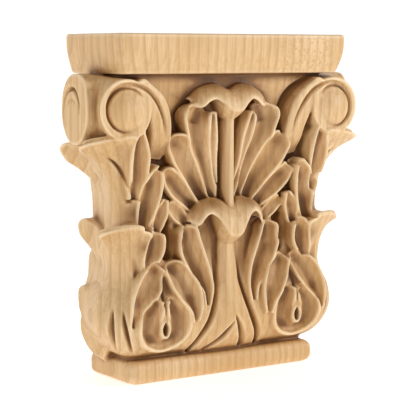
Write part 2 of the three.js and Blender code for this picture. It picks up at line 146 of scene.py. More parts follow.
class Block:
    """The block of wood as a grid of distances to its surface, under nought inside it."""

    def __init__(self, voxel):
        self.voxel = voxel
        self.low = np.floor(np.array(BLOCK_LOW) / voxel).astype(int)
        self.high = np.ceil(np.array(BLOCK_HIGH) / voxel).astype(int)
        self.field = np.full(self.high - self.low + 1, BAND * voxel, np.float32)
        self.transform = vdb.createLinearTransform(voxelSize=voxel)

    def sampled(self, rings):
        """Distances to a closed form given as a run of rings, and the part of the grid they fill."""
        rings = np.asarray(rings, np.float32)
        count, size = rings.shape[:2]
        points = np.vstack([rings.reshape(-1, 3), rings[0].mean(0), rings[-1].mean(0)])
        grid_index = np.arange(count * size).reshape(count, size)
        turned = np.roll(grid_index, -1, axis=1)
        quads = np.stack([grid_index[:-1], turned[:-1], turned[1:], grid_index[1:]], -1).reshape(-1, 4)
        foot = count * size
        start = np.stack([np.full(size, foot), turned[0], grid_index[0]], -1)
        end = np.stack([np.full(size, foot + 1), grid_index[-1], turned[-1]], -1)
        level_set = vdb.FloatGrid.createLevelSetFromPolygons(
            points.astype(np.float32),
            triangles=np.vstack([start, end]).astype(np.uint32),
            quads=quads.astype(np.uint32),
            transform=self.transform,
            halfWidth=float(BAND),
        )
        low, high = (np.array(c) for c in level_set.evalActiveVoxelBoundingBox())
        low = np.maximum(low, self.low)
        high = np.minimum(high, self.high)
        part = np.empty(high - low + 1, np.float32)
        level_set.copyToArray(part, ijk=tuple(int(v) for v in low))
        where = tuple(slice(a - b, c - b + 1) for a, b, c in zip(low, self.low, high))
        return where, part

    def add(self, rings, soft):
        """Build a form on, with a soft fillet where it meets the wood."""
        where, part = self.sampled(rings)
        here = self.field[where]
        share = np.clip(0.5 + 0.5 * (here - part) / soft, 0, 1)
        self.field[where] = here + (part - here) * share - soft * share * (1 - share)

    def cut(self, rings, soft):
        """Cut a form away, with its edges eased."""
        where, part = self.sampled(rings)
        here = self.field[where]
        part = -part
        share = np.clip(0.5 - 0.5 * (here - part) / soft, 0, 1)
        self.field[where] = here + (part - here) * share + soft * share * (1 - share)

    def soften(self):
        """Round off every edge by about one step of the grid."""
        for axis in range(3):
            self.field = box_mean(self.field, 1, axis).astype(np.float32)

    def cut_wall(self):
        """Take off flat what lies behind the wall's face."""
        out = (np.arange(self.low[1], self.high[1] + 1) * self.voxel).astype(np.float32)
        self.field = np.maximum(self.field, -out[None, :, None])

    def surface(self, adaptivity):
        """The carved surface as points, triangles and four-sided faces."""
        grid = vdb.FloatGrid(float(BAND * self.voxel))
        grid.transform = self.transform
        grid.copyFromArray(self.field, ijk=tuple(int(v) for v in self.low), tolerance=0.0)
        return grid.convertToPolygons(isovalue=0.0, adaptivity=adaptivity)

    def fullness(self, points, radius):
        """Share of wood in a cube round each point: over a half in a recess, under a half on a ridge."""
        inside = np.clip(0.5 - self.field / self.voxel, 0, 1)
        reach = max(1, int(round(radius / self.voxel)))
        for _ in range(2):
            for axis in range(3):
                inside = box_mean(inside, reach, axis)
        spot = (points / self.voxel - self.low).T
        return sample_grid(inside, spot)


def box_mean(values, reach, axis):
    """Mean of each value and its neighbours within reach, along one axis."""
    pad = [(0, 0)] * 3
    pad[axis] = (reach + 1, reach)
    total = np.cumsum(np.pad(values, pad, mode="edge"), axis=axis, dtype=np.float32)
    count = values.shape[axis]
    window = 2 * reach + 1
    upper = np.take(total, np.arange(window, window + count), axis=axis)
    lower = np.take(total, np.arange(count), axis=axis)
    return (upper - lower) / window


def sample_grid(values, spot):
    """Values between grid points, by weights along each axis."""
    base = np.floor(spot).astype(int)
    share = spot - base
    result = np.zeros(spot.shape[1])
    limits = np.array(values.shape) - 1
    for corner in np.ndindex(2, 2, 2):
        index = [np.clip(base[a] + corner[a], 0, limits[a]) for a in range(3)]
        weight = np.ones(spot.shape[1])
        for a in range(3):
            weight *= share[a] if corner[a] else 1 - share[a]
        result += weight * values[tuple(index)]
    return result


# Plinth, bell and abacus

CORNER_STEPS = 12

# Everything is drawn this far into the wall and then cut off flat at it
WALL_TRIM = 8

# Bell, from its foot up: (up, half width at the wall, half width, out, corner radius)
BELL_STATIONS = [
    (0.5, 77, 78, 49, 6),
    (3, 78, 80, 51, 8),
    (6, 80, 87, 56, 12),
    (14, 84, 96, 63, 18),
    (28, 87, 105, 67, 25),
    (42, 86, 103.5, 65, 23),
    (60, 82, 94, 59, 15),
    (76, 79, 89, 55, 12),
    (110, 79, 87, 53, 12),
    (135, 82, 88, 52, 11),
    (165, 88, 88, 52, 8),
    (206.5, 90, 90, 57, 4),
]


def outline(wall, half, out, corner, up):
    """Half a rounded rectangle that runs into the wall; wall is its half width there."""
    ring = [(wall, -WALL_TRIM, up)]
    for side in (1, -1):
        for k in range(CORNER_STEPS + 1):
            turn = (k if side > 0 else CORNER_STEPS - k) / CORNER_STEPS * math.pi / 2
            x = half - corner * (1 - math.cos(turn))
            ring.append((side * x, out - corner * (1 - math.sin(turn)), up))
    ring.append((-wall, -WALL_TRIM, up))
    return ring


def block_rings():
    """Plinth, bell and abacus, from the underside up."""
    rings = []
    steps = 10
    for upper in (False, True):
        for k in range(steps + 1):
            turn = (k if upper else steps - k) / steps * math.pi / 2
            inset = PLINTH_EDGE_RADIUS * (1 - math.cos(turn))
            rise = PLINTH_EDGE_RADIUS * (1 - math.sin(turn))
            level = -rise if upper else rise - PLINTH_HEIGHT
            half = PLINTH_WIDTH / 2 - inset
            rings.append(outline(half, half, PLINTH_DEPTH - inset, PLINTH_CORNER_RADIUS, level))
    stations = np.array(BELL_STATIONS)[:, [1, 2, 3, 4, 0]]
    for wall, half, out, corner, up in rounded(stations, 60):
        rings.append(outline(wall, half, out, corner, up))
    corner = ABACUS_CORNER_RADIUS
    for share in np.linspace(0, 1, 16):
        inset = ABACUS_BOWL_DEPTH * (1 - share) ** ABACUS_BOWL_CURVE
        half = ABACUS_WIDTH / 2 - inset
        up = BELL_HEIGHT + ABACUS_BOWL_HEIGHT * share
        rings.append(outline(half, half, ABACUS_DEPTH - inset, corner, up))
    top = BELL_HEIGHT + ABACUS_HEIGHT
    edge = ABACUS_EDGE_RADIUS
    for inset, drop in ((0, edge), (0.3 * edge, 0.3 * edge), (edge, 0)):
        half = ABACUS_WIDTH / 2 - inset
        rings.append(outline(half, half, ABACUS_DEPTH - inset, corner, top - drop))
    return rings


# Leaves. A lobe is a path of (across, out, up, width of its hollow) from its foot to its tip.

FRONT = (0, 1, 0)
SIDE = (1, 0, 0)

# Thickness of a lobe's rim, how far its body reaches back, and how far cuts are drawn out into the open
RIM = 1.5
MASS_BACK = 15.0
FLUTE_CLEAR = 12.0
GROOVE_CLEAR = 10.0

# Tips: 2 draws them round and more makes them squarer, down to this share of the full width
TIP_BLUNTNESS = 2.1
NARROWEST = 0.06

UPPER_LEAF_LOBES = [
    dict(
        path=[(10, 56, 112, 4), (14, 60, 124, 8), (20, 63, 141, 12), (27, 66, 158, 16), (31.5, 69, 176, 19)],
        depth=9,
    ),
    dict(path=[(8.5, 57, 126, 2), (12.5, 61, 142, 3.5), (15.5, 65, 160, 6), (18, 69, 178, 3)], depth=5),
    dict(
        path=[(17, 56, 112, 7), (24, 59, 123, 12), (31, 62, 135, 16), (40, 65, 148, 19), (45, 66, 155, 17)],
        depth=9,
    ),
    dict(
        path=[(26, 56, 108, 7), (33, 59, 115, 10), (42, 61, 123, 13), (50, 63, 131, 12), (53, 64, 135, 9)],
        depth=7,
    ),
    dict(path=[(34, 57, 98, 6), (41, 58, 105, 9), (48, 59, 111, 7)], depth=4),
]
LOWER_LEAF_LOBES = [
    dict(
        path=[
            (21, 67, 38, 3), (21, 67, 50, 8), (25, 66, 60, 13),
            (30, 66, 70, 16), (35, 66, 82, 17), (36, 66, 90, 14),
        ],
        depth=10,
    ),
    dict(
        path=[(33, 70, 27, 3), (33.5, 71, 37, 9), (37, 70, 47, 16), (43, 67.5, 58, 18), (47.5, 65.5, 65, 14)],
        depth=9,
    ),
    dict(
        path=[(85, 66, 27, 3), (83, 69, 36, 8), (78, 69, 46, 15), (70.5, 68, 57, 18), (64.5, 66, 65, 14)],
        depth=9,
    ),
]
CORNER_FRONT_LOBES = [
    dict(
        path=[(71, 64, 68, 6), (69, 65, 74, 11), (66, 66, 82, 14), (65, 67, 90, 12), (65, 67, 94, 8)],
        depth=9,
    ),
    dict(path=[(62, 59, 94, 6), (60, 61, 101, 9), (58, 62, 108, 9), (55.5, 63, 116, 3)], depth=6),
    dict(
        path=[(74, 60, 96, 7), (71.5, 63, 109, 13), (69, 66, 122, 15), (66, 68, 133, 11), (63, 69, 141, 3)],
        depth=9,
    ),
    dict(
        path=[(80, 60, 118, 6), (79.5, 66, 133, 11), (80, 70, 147, 13), (80.5, 71, 159, 9), (80, 71, 166, 3)],
        depth=9,
    ),
]
SIDE_FINS = [
    dict(path=[(84, 30, 44, 12), (84, 18, 56, 18), (83.5, 6, 68, 17)], face=SIDE),
    dict(path=[(90, 28, 18, 12), (92, 16.4, 30, 18.6), (92.5, 5, 41.7, 16.6)], face=SIDE),
    dict(path=[(85, 26, 2, 10), (89, 14, 10, 15), (90.5, 5, 20, 14)], face=SIDE),
    dict(path=[(84, 26, 122, 10), (88, 18, 135, 16), (96, 10, 145, 17), (104, 4, 150, 13)], face=SIDE),
    dict(path=[(84, 30, 66, 10), (86, 22, 79, 16), (88, 12, 88, 17), (91, 5, 93, 13)], face=SIDE),
]
CORNER_HOLLOWS = [
    dict(path=[(79, 62, 62, 6), (83, 66, 76, 15), (86, 70, 87, 19)], depth=6, face=(0.5, 0.87, 0)),
    dict(path=[(84, 58, 116, 6), (89, 63, 136, 15), (95, 68, 150, 21)], depth=6, face=(0.5, 0.87, 0)),
]

# Hollow that runs on under the lip of the upper curl, cut without a body of its own
LIP_HOLLOW = dict(path=[(30, 68, 171, 15), (28, 69, 178, 15), (23, 70, 184, 13)], depth=10)

# The horseshoe of two lobes round a small hole, low on each corner
HORSESHOE = dict(x=59.3, up=25, out=70.5, half=23.5, above=22.5, below=19, cleft=3.2)
HORSESHOE_FLUTES = [
    dict(
        path=[(51.5, 69, 41, 11), (47.5, 69, 31, 16), (48.5, 68, 20, 15), (56, 65, 13, 9), (60, 65, 12, 8)],
        depth=8.5,
        round_foot=True,
    ),
    dict(
        path=[(66, 69, 41, 10), (71.5, 69, 31, 16), (70, 68, 20, 15), (63, 65, 13, 9), (59, 65, 12, 8)],
        depth=8.5,
        round_foot=True,
    ),
]
HOLE_RIM = dict(centre=(59.3, 24), width=8.5, height=14, near=50, far=69)
HOLE = dict(centre=(59.3, 24), width=5, height=10, near=46, far=76)
HORSESHOE_SLIT = dict(
    path=[
        (59.3, 70, 27, 1.8), (59.3, 70, 36, 2), (59.3, 69.5, 44, 3), (58.8, 68.5, 52, 5.5),
        (57.5, 67, 61, 5), (56, 66, 70, 2.5),
    ],
    depth=9,
)


def stroke(path, count, round_foot=False):
    """Stations along a path with a blunt end as wide as its last width: place, direction, width, closing."""
    path = np.asarray(path, float)
    ts = np.linspace(0, 1, count)
    places, along = spline(path, ts)
    heading = along[:, :3] / np.linalg.norm(along[:, :3], axis=1, keepdims=True)
    stations = [(p[:3], d, p[3], 1.0) for p, d in zip(places, heading)]
    end, ahead, width = places[-1][:3], heading[-1], places[-1][3]
    for share in np.sin(np.linspace(0, math.pi / 2, 12)[1:]):
        closing = max((1 - share**TIP_BLUNTNESS) ** (1 / TIP_BLUNTNESS), NARROWEST)
        stations.append((end + ahead * width / 2 * share, ahead, width, closing))
    if round_foot:
        start, behind, width = places[0][:3], heading[0], places[0][3]
        foot = []
        for turn in np.linspace(math.pi / 2, 0, 9)[:-1]:
            closing = max(math.cos(turn), NARROWEST)
            foot.append((start - behind * width / 2 * math.sin(turn), behind, width, closing))
        stations = foot + stations
    return stations


def mass_rings(path, depth=4, face=FRONT):
    """The raised body of a lobe, before its hollow is cut."""
    face = np.array(face, float)
    rings = []
    for place, ahead, width, closing in stroke(path, 22):
        across = np.cross(ahead, face)
        across /= np.linalg.norm(across)
        half = (width / 2 + RIM) * closing + RIM * (1 - closing)
        sunk = 0.35 * depth * (1 - closing) ** 2
        ring = []
        for a in np.linspace(-1, 1, 15):
            ring.append(place + across * a * half + face * (0.4 - sunk - 1.2 * abs(a) ** 8))
        spread = half + 1.0
        ring.append(place + across * spread - face * MASS_BACK)
        ring.append(place - across * spread - face * MASS_BACK)
        rings.append(ring)
    return rings


def flute_rings(path, depth=4, face=FRONT, round_foot=False):
    """The hollow of a lobe: a rounded trough, open to the front."""
    face = np.array(face, float)
    rings = []
    for place, ahead, width, closing in stroke(path, 26, round_foot):
        across = np.cross(ahead, face)
        across /= np.linalg.norm(across)
        half = (width / 2 - 0.25) * closing
        low = depth * min(1.0, 0.25 + width / 18) * closing**0.45
        turns = np.linspace(0, math.pi, 19)
        ring = [place + across * half * math.cos(t) - face * low * math.sin(t) for t in turns]
        ring.append(place - across * (half + 0.6) + face * FLUTE_CLEAR)
        ring.append(place + across * (half + 0.6) + face * FLUTE_CLEAR)
        rings.append(ring)
    return rings


def groove_rings(path, depth, face=FRONT, runs_out=False):
    """A knife cut with a sharp bottom along (across, out, up, width), open at its end if it runs out."""
    face = np.array(face, float)
    rings = []
    shares = np.linspace(0, 1, 40)
    places, along = spline(path, shares)
    for share, p, t in zip(shares, places, along):
        ahead = t[:3] / np.linalg.norm(t[:3])
        across = np.cross(ahead, face)
        across /= np.linalg.norm(across)
        turn = min(share, 0.5) if runs_out else share
        fade = math.sqrt(max(0.01, math.sin(math.pi * turn)))
        half = p[3] / 2 * fade
        low = depth * fade
        ring = [
            p[:3] + across * half,
            p[:3] + across * half * 0.5 - face * low * 0.65,
            p[:3] - face * low,
            p[:3] - across * half * 0.5 - face * low * 0.65,
            p[:3] - across * half,
            p[:3] - across * (half + 1) + face * GROOVE_CLEAR,
            p[:3] + across * (half + 1) + face * GROOVE_CLEAR,
        ]
        rings.append(ring)
    return rings


def crowned_ring(half, out, crown, up):
    """A level section whose front bulges towards its middle."""
    back = 40
    ring = [(-half, back, up)]
    for a in np.linspace(-1, 1, 17):
        ring.append((a * half, out + crown * (1 - a * a), up))
    ring.append((half, back, up))
    return ring


# The rib up the middle of the upper leaf, and the stem of the lower one as (up, half width, out, crown)
RIB = dict(foot=106, head=178, half=3.4, out=63.5, crown=2.5)
STEM_STATIONS = [
    (1, 37, 50, 3),
    (8, 33, 56, 6),
    (18, 27, 60, 8),
    (28, 20, 62, 8),
    (38, 14, 62, 7),
    (50, 10.5, 61, 6),
    (66, 8, 60, 5),
    (92, 6.5, 58, 4.5),
]


def rib_rings():
    levels = np.linspace(RIB["foot"], RIB["head"], 20)
    return [crowned_ring(RIB["half"], RIB["out"], RIB["crown"], up) for up in levels]


def stem_rings():
    stations = rounded(np.array(STEM_STATIONS)[:, [1, 2, 3, 0]], 40)
    return [crowned_ring(half, out, crown, up) for half, out, crown, up in stations]


# Turned-over tops of the middle leaves. A lip is levels by share of the half width, from the middle out.
UPPER_CURL = dict(
    half=35.5,
    crest=200.5,
    valley=5,
    fall=13,
    lip=[
        (0, 180), (0.13, 181), (0.3, 186.3), (0.47, 189.3),
        (0.58, 188), (0.7, 184.8), (0.82, 183), (1, 184),
    ],
    out=57,
    reach=74.3,
    under=7,
    floor=166,
)
LOWER_CURL = dict(
    half=34,
    crest=116.5,
    valley=3.5,
    fall=11,
    lip=[(0, 88.5), (0.12, 89.5), (0.3, 97.5), (0.46, 104), (0.58, 106), (0.7, 103.5), (0.83, 97), (1, 95)],
    out=56,
    reach=73.3,
    under=7,
    floor=82,
)


def curl_rings(curl):
    """Two humps that roll forward to a lip with two arches and a tongue between them."""
    ends = [share for share, _ in curl["lip"]]
    levels = [level for _, level in curl["lip"]]
    out = curl["out"]
    rings = []
    for a in np.linspace(-1, 1, 121):
        lip = float(np.interp(abs(a), *smooth_levels(ends, levels)))
        crest = curl["crest"] - curl["valley"] * math.exp(-((a / 0.2) ** 2)) - curl["fall"] * abs(a) ** 3.2
        lip = min(lip, crest - 2.5)
        arch = math.exp(-((max(0.0, 0.5 - abs(a)) / 0.2) ** 2))
        arch -= 0.4 * math.exp(-(((abs(a) - 0.74) / 0.07) ** 2))
        reach = mix(out + 1, curl["reach"], math.sqrt(max(0, 1 - abs(a) ** 3)))
        reach -= 2.5 * arch
        section = [(42, curl["floor"]), (42, crest - 1.5), (out - 5, crest - 0.3)]
        for turn in np.linspace(0, math.pi / 2, 18):
            section.append((mix(out, reach, math.sin(turn)), mix(lip, crest, math.cos(turn))))
        drop = curl["under"] * (1 - arch)
        under = [
            (reach - 0.2, lip - 0.7),
            (reach - 1.3, lip - 1.4),
            (mix(out, reach, 0.78), lip - 0.5 * drop + 1.5 * arch),
            (mix(out, reach, 0.45), lip - 0.95 * drop + 4.0 * arch),
            (mix(out, reach, 0.1), lip - drop + 4.5 * arch),
            (out - 6, lip - drop + 3.0 * arch),
            (out - 9, mix(lip, curl["floor"], 0.8)),
        ]
        section.extend(map(tuple, rounded(under, 30)))
        rings.append([(a * curl["half"], o, up) for o, up in section])
    return rings


def smooth_levels(ends, levels):
    """The lip's levels as a smooth run of many short steps."""
    run = rounded(list(zip(ends, levels)), 60)
    return run[:, 0], run[:, 1]


LOWER_CORNER_LEAF = dict(
    rim=[(66, 67, 88), (78, 71, 98), (93, 68, 99), (107, 56, 94), (98, 45, 88), (92.5, 29, 78)],
    waist=[(68, 61, 50), (78, 62, 50), (86, 58, 50), (90, 50, 50), (91, 41, 50), (88, 30, 50)],
    crest=2,
)
UPPER_CORNER_LEAF = dict(
    rim=[(76, 67, 156), (86, 73, 163), (104, 70, 162), (124, 59, 157), (109, 42, 149), (94, 27, 138)],
    waist=[(72, 58, 88), (77, 59, 88), (84, 56, 88), (87, 49, 88), (87, 40, 88), (85, 28, 88)],
    crest=4,
)


def brim_rings(leaf):
    """A corner leaf: it flares from the waist to a rim with a drooping tip, and its top slopes back."""
    shares = np.linspace(0, 1, 60)
    rim = spline(leaf["rim"], shares)[0]
    waist = spline(leaf["waist"], shares)[0]
    core = np.array((58, 24))
    crest = leaf["crest"]
    rings = []
    for share, edge, root in zip(shares, rim, waist):
        inner = mix(root[:2], core, 0.6)
        height = edge[2] - root[2]
        thick = 2.0 + 2.0 * math.exp(-((share - 0.62) / 0.2) ** 2)

        def point(share, up):
            return (*mix(root[:2], edge[:2], share), up)

        section = [
            (*inner, root[2]),
            point(0, root[2]),
            point(0.04, root[2] + height * 0.3),
            point(0.2, root[2] + height * 0.62),
            point(0.55, root[2] + height * 0.86),
            tuple(edge),
            point(1.0 - 0.03 * thick, edge[2] + 0.5 * thick),
            point(0.9, edge[2] + thick),
            point(0.5, edge[2] + crest * 0.6),
            point(0, edge[2] + crest),
            (*inner, edge[2] + crest),
        ]
        rings.append(rounded(section, 50))
    return rings


# Scrolls

SCROLL = dict(up=182, radius=21.5, front_x=92, front_out=71, side_x=117, side_out=39, side_radius=18, band=5)
STALK = dict(
    path=[
        (61, 56, 146, 7), (59.5, 62, 156, 12), (60.5, 66, 170, 14),
        (66.5, 69, 185, 14), (79, 70.3, 197, 11),
    ],
)

# Grooves along the stalk: one up its inner edge and over the scroll, one on the bell beside it
STALK_GROOVES = [
    dict(
        path=[
            (57.5, 64, 152, 2.5), (57.5, 67, 166, 4), (63, 70, 182, 5), (74, 71.8, 195, 5),
            (90, 71.8, 200, 4), (103, 71.8, 196, 3.5), (110, 71.8, 184, 3),
        ],
        depth=5,
    ),
    dict(path=[(49, 54, 172, 4), (53.5, 54, 184, 6), (62, 55, 195, 6), (75, 57, 204, 4)], depth=5),
]

# Turn of the groove round the front, with its angles in degrees from the scroll's outer side
SCROLL_GROOVE = dict(reach=15.5, first=150, last=-100, width=4.5)
SCROLL_GROOVE_DEPTH = 5.5

# Half sizes of the eye, and how far its middle lies behind the scroll's face and below its middle
SCROLL_EYE = (14.0, 8.0, 14.0)
SCROLL_EYE_SUNK = 3
SCROLL_EYE_DROP = 1

FLANK_GROOVES = [
    dict(
        path=[
            (117.5, 23.5, 176, 2.5), (117.5, 24.5, 187, 4), (117.5, 30, 195, 4.5),
            (117.5, 38, 196, 4.5), (117.5, 44.5, 188, 4), (117.5, 46.5, 176, 2.5),
        ],
        depth=4,
        face=SIDE,
    ),
    dict(
        path=[(117.5, 28, 183, 1.5), (117.5, 33, 188.5, 2.2), (117.5, 40, 187, 2.2), (117.5, 44, 181, 1.5)],
        depth=2,
        face=SIDE,
    ),
]


def scroll_block_rings(scroll):
    """A drum that goes round the corner from the scroll on the front to the one on the flank."""
    rings = []
    for k in np.linspace(-1, 1, 40):
        turn = k * math.pi / 2
        sweep = math.cos(turn) + 0.03
        square_sweep = math.sqrt(sweep) if turn > 0 else sweep
        up = scroll["up"] + scroll["radius"] * math.sin(turn)
        flank_up = scroll["up"] + (BELL_HEIGHT - scroll["up"]) * math.sin(turn)
        front = np.array((scroll["front_x"] + scroll["radius"] * sweep, scroll["front_out"], up))
        side_out = scroll["side_out"]
        flank = np.array((scroll["side_x"], side_out + scroll["side_radius"] * square_sweep, flank_up))
        band = np.array((scroll["band"], scroll["band"], 0))
        rings.append([
            (scroll["front_x"] - 18, 48, up),
            (scroll["front_x"] - scroll["radius"] * sweep * 0.9, scroll["front_out"], up),
            front,
            mix(front, flank, 0.25) - band * 0.75,
            mix(front, flank, 0.5) - band,
            mix(front, flank, 0.75) - band * 0.75,
            flank,
            (scroll["side_x"], side_out - scroll["side_radius"] * sweep, flank_up),
            (84, side_out - scroll["side_radius"], flank_up),
        ])
    return rings


def arc_path(scroll, reach, first, last, width):
    """Part of a turn round the front of a scroll, angles in degrees from its outer side."""
    path = []
    for turn in np.radians(np.linspace(first, last, 11)):
        across = scroll["front_x"] + reach * math.cos(turn)
        path.append((across, scroll["front_out"] + 0.5, scroll["up"] + reach * math.sin(turn), width))
    return path


def ball_rings(centre, radii):
    """A flattened ball."""
    rings = []
    for polar in np.linspace(0.02, math.pi - 0.02, 24):
        ring = []
        for turn in np.linspace(0, 2 * math.pi, 36, endpoint=False):
            ring.append((
                centre[0] + radii[0] * math.sin(polar) * math.cos(turn),
                centre[1] + radii[1] * math.cos(polar),
                centre[2] + radii[2] * math.sin(polar) * math.sin(turn),
            ))
        rings.append(ring)
    return rings


def horseshoe_rings():
    """The body of the horseshoe. Its face is a little smaller than its foot and leans back at the bottom."""
    shoe = HORSESHOE
    rings = []
    for level in (-14, -1.5, 0):
        shrink = 1 if level < 0 else 0.96
        ring = []
        for turn in np.linspace(0, 2 * math.pi, 72, endpoint=False):
            cleft = shoe["cleft"] * math.exp(-((turn - math.pi / 2) / 0.2) ** 2)
            reach_x = shoe["half"] - 2.5 * max(0.0, math.sin(turn))
            reach_up = shoe["above"] if math.sin(turn) > 0 else shoe["below"]
            x = shoe["x"] + reach_x * math.cos(turn) * shrink
            up = shoe["up"] + (reach_up * math.sin(turn) - cleft) * shrink
            middle = shoe["up"] + 10
            lean = 0.02 * (up - middle) ** 2 * (1 if up < middle else 0.15)
            ring.append((x, shoe["out"] + level - lean * 0.5, up))
        rings.append(ring)
    return rings


def teardrop_rings(centre, width, height, near, far):
    """A straight peg or hole with a drop-shaped section, narrower at the top."""
    rings = []
    for out in (near, far):
        ring = []
        for turn in np.linspace(0, 2 * math.pi, 40, endpoint=False):
            squeeze = 1 - 0.45 * max(0.0, math.sin(turn)) ** 2
            ring.append((
                centre[0] + width / 2 * squeeze * math.cos(turn), out, centre[1] + height / 2 * math.sin(turn)
            ))
        rings.append(ring)
    return rings


# Cuts and pockets, each a path of (across, out, up, width)

STEM_GROOVE = dict(
    path=[
        (17, 66, 102, 13), (12, 65, 86, 10), (10.8, 66, 70, 8.5), (10.8, 68, 56, 7.5),
        (13.5, 69.5, 42, 7), (19, 69, 27, 6.5), (26, 65, 14, 6), (31, 57, 2, 6),
    ],
    depth=12,
    runs_out=True,
)
FOOT_CUTS = [
    dict(
        path=[(1.5, 70, 26, 1.5), (-3.6, 68, 17.5, 5), (-10, 63, 9, 6), (-18, 56, 2, 6)],
        depth=5,
        runs_out=True,
    ),
    dict(
        path=[(0.5, 70.5, 31, 1.5), (5.5, 69.5, 22, 5), (11, 65, 12, 7), (15.5, 57, 2, 8)],
        depth=7,
        runs_out=True,
    ),
]
CORNER_CUTS = [
    dict(
        path=[(92, 62.3, 43, 1.5), (92, 63.5, 34, 3.2), (90.8, 64, 26, 4), (87.3, 62, 17, 4), (79, 55, 4, 4)],
        depth=6,
        face=(0.7, 0.71, 0),
    ),
    dict(
        path=[
            (96.5, 57, 44, 1.5), (98.1, 57.6, 34, 4), (97.5, 56.3, 23, 5),
            (94.7, 53.5, 15, 5), (87.8, 47, 6, 3),
        ],
        depth=4,
        face=(0.85, 0.53, 0),
    ),
    dict(
        path=[(104, 58.5, 151, 1), (94.2, 59, 143.4, 3), (87.6, 59.3, 133.6, 3.5), (82.3, 60.2, 121, 2)],
        depth=4.5,
        face=(0.3, 0.95, 0),
    ),
]
POCKETS = [
    dict(path=[(50.5, 63, 77, 11), (50.5, 63, 88, 13), (50, 61, 98, 10)], depth=22, round_foot=True),
    dict(path=[(61, 60, 140, 4), (62, 60, 144, 5)], depth=9, round_foot=True),
]


# How softly each form runs into what is already carved, in millimetres
SOFT = dict(
    none=0.01,
    slit=0.5,
    cut=0.8,
    flute=1.0,
    part=1.0,
    lobe=1.2,
    flank=1.2,
    horseshoe=1.5,
    hollow=2.0,
    eye=2.0,
    leaf=2.5,
    fin=3.0,
)


def carve_scroll(block, side):
    """One corner scroll with its stalk, its grooves and its eye."""
    block.add(mirrored(scroll_block_rings(SCROLL), side), SOFT["part"])
    block.add(mirrored(mass_rings(**STALK), side), SOFT["part"])
    for groove in STALK_GROOVES:
        block.cut(mirrored(groove_rings(**groove), side), SOFT["cut"])
    for groove in FLANK_GROOVES:
        block.cut(mirrored(groove_rings(**groove), side), SOFT["flank"])
    path = arc_path(SCROLL, **SCROLL_GROOVE)
    block.cut(mirrored(groove_rings(path, SCROLL_GROOVE_DEPTH), side), SOFT["part"])
    eye = (SCROLL["front_x"], SCROLL["front_out"] - SCROLL_EYE_SUNK, SCROLL["up"] - SCROLL_EYE_DROP)
    block.add(mirrored(ball_rings(eye, SCROLL_EYE), side), SOFT["eye"])


def carve(voxel):
    """The block and its leaves, then their cuts, then the curls, the scrolls and the small holes."""
    block = Block(voxel)
    block.add(block_rings(), SOFT["none"])
    front_lobes = UPPER_LEAF_LOBES + LOWER_LEAF_LOBES + CORNER_FRONT_LOBES
    for side in (1, -1):
        for fin in SIDE_FINS:
            block.add(mirrored(mass_rings(**fin), side), SOFT["fin"])
        for leaf in (LOWER_CORNER_LEAF, UPPER_CORNER_LEAF):
            block.add(mirrored(brim_rings(leaf), side), SOFT["leaf"])
        for hollow in CORNER_HOLLOWS:
            block.cut(mirrored(flute_rings(**hollow), side), SOFT["hollow"])
        for lobe in front_lobes:
            block.add(mirrored(mass_rings(**lobe), side), SOFT["lobe"])
        block.add(mirrored(horseshoe_rings(), side), SOFT["horseshoe"])
    block.add(stem_rings(), SOFT["lobe"])
    for side in (1, -1):
        for lobe in front_lobes + HORSESHOE_FLUTES + [LIP_HOLLOW]:
            block.cut(mirrored(flute_rings(**lobe), side), SOFT["flute"])
        for groove in [STEM_GROOVE] + CORNER_CUTS:
            block.cut(mirrored(groove_rings(**groove), side), SOFT["cut"])
        for pocket in POCKETS:
            block.cut(mirrored(flute_rings(**pocket), side), SOFT["cut"])
    for groove in FOOT_CUTS:
        block.cut(groove_rings(**groove), SOFT["cut"])
    block.add(rib_rings(), SOFT["part"])
    block.add(curl_rings(UPPER_CURL), SOFT["part"])
    block.add(curl_rings(LOWER_CURL), SOFT["part"])
    for side in (1, -1):
        carve_scroll(block, side)
        block.add(mirrored(teardrop_rings(**HOLE_RIM), side), SOFT["horseshoe"])
        block.cut(mirrored(teardrop_rings(**HOLE), side), SOFT["cut"])
        block.cut(mirrored(groove_rings(**HORSESHOE_SLIT), side), SOFT["slit"])
    block.soften()
    block.cut_wall()
    return block


# Spots darkened with painted shade and with stain: across, out, up and radius, in millimetres
SHADE_AND_STAIN_SPOTS = [
    (14, 66, 200, 12),
    (16, 66, 115, 12),
    (30, 58, 108, 8),
    (33, 58, 190, 8),
    (43, 60, 170, 9),
    (22, 64, 178, 9),
    (22, 62, 96, 9),
    (49, 56, 88, 13),
    (44, 58, 76, 8),
    (59, 64, 24, 8),
    (59, 64, 50, 8),
    (60, 54, 148, 9),
    (76, 66, 84, 7),
    (58, 54, 122, 8),
    (20, 60, 122, 9),
    (80, 58, 108, 7),
]


def shade_and_stain_share(points):
    """How strongly each point lies in a spot of painted shade and stain, on either side of the middle."""
    folded = np.array(points, float)
    folded[:, 0] = np.abs(folded[:, 0])
    share = np.zeros(len(folded))
    for across, out, up, radius in SHADE_AND_STAIN_SPOTS:
        away = ((folded - (across, out, up)) ** 2).sum(axis=1)
        share = np.maximum(share, np.exp(-away / radius**2))
    return share


# How far round a point the wood is measured for broad hollows and for thin ridges, in millimetres. The
# measures place painted shade in hollows and creases, and a painted highlight on thin ridges.
RECESS_REACH = 5.0
RIDGE_REACH = 1.6

# Share of wood round a point on a flat face, which takes neither painted shade nor a painted highlight.
# Points nearer the wall than the depth count as part of the sawn back.
EVEN = 0.5
SAWN_DEPTH = 0.5


